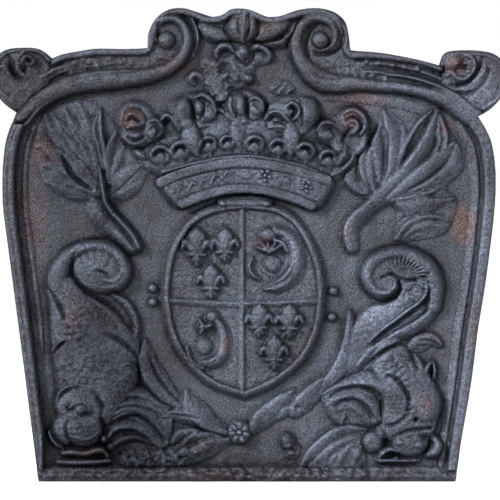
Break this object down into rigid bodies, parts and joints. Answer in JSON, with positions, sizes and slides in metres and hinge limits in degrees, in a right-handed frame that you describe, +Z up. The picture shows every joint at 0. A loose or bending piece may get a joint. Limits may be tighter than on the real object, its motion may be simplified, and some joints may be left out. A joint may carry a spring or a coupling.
{
  "type": "cast iron fireback",
  "caption": "Arched cast iron fireback with scroll-topped frame and relief of a crowned quartered shield held by two coiled dolphins.",
  "frame": {"origin": "middle of the plate's bottom face, midway through the thickness of the plain plate", "axes": "+Z up, the carved face looks along -Y, +X to the viewer's right"},
  "size_m": [0.5151, 0.0333, 0.472],
  "materials": {
    "cast_iron_field": "sand-cast, pitted, dull black with soot and a little brown rust",
    "cast_iron_frame": "sand-cast, blackened, edges worn brighter",
    "cast_iron_relief": "sand-cast relief, blackened, high places worn to a grey sheen"
  },
  "bodies": {
    "root": {"back_plate": "cast_iron_field", "rim_left": "cast_iron_frame", "rim_right": "cast_iron_frame", "rim_foot": "cast_iron_frame", "scroll_left": "cast_iron_frame", "scroll_right": "cast_iron_frame", "volute_eyes": "cast_iron_frame", "ear_left": "cast_iron_frame", "ear_right": "cast_iron_frame", "crest_shell": "cast_iron_frame", "crest_spray": "cast_iron_relief", "crown_band": "cast_iron_relief", "crown_band_cords": "cast_iron_relief", "crown_jewels": "cast_iron_relief", "crown_curls": "cast_iron_relief", "crown_fleuron_center": "cast_iron_relief", "crown_fleuron_left_inner": "cast_iron_relief", "crown_fleuron_right_inner": "cast_iron_relief", "crown_fleuron_left_outer": "cast_iron_relief", "crown_fleuron_right_outer": "cast_iron_relief", "shield_field": "cast_iron_field", "shield_rim_left": "cast_iron_frame", "shield_rim_right": "cast_iron_frame", "shield_bars": "cast_iron_relief", "lilies_upper": "cast_iron_relief", "lilies_lower": "cast_iron_relief", "charge_dolphin_upper": "cast_iron_relief", "charge_dolphin_lower": "cast_iron_relief", "shield_clasp": "cast_iron_relief", "shield_knobs": "cast_iron_relief", "dolphin_left_body": "cast_iron_relief", "dolphin_left_fins": "cast_iron_relief", "tail_stem_left": "cast_iron_relief", "tail_spray_left": "cast_iron_relief", "dolphin_right_body": "cast_iron_relief", "dolphin_right_fins": "cast_iron_relief", "tail_stem_right": "cast_iron_relief", "tail_spray_right": "cast_iron_relief", "palm_left": "cast_iron_relief", "palm_right": "cast_iron_relief", "rosette": "cast_iron_relief", "leaves_foot_left": "cast_iron_relief", "leaves_foot_right": "cast_iron_relief"}
  },
  "joints": []
}
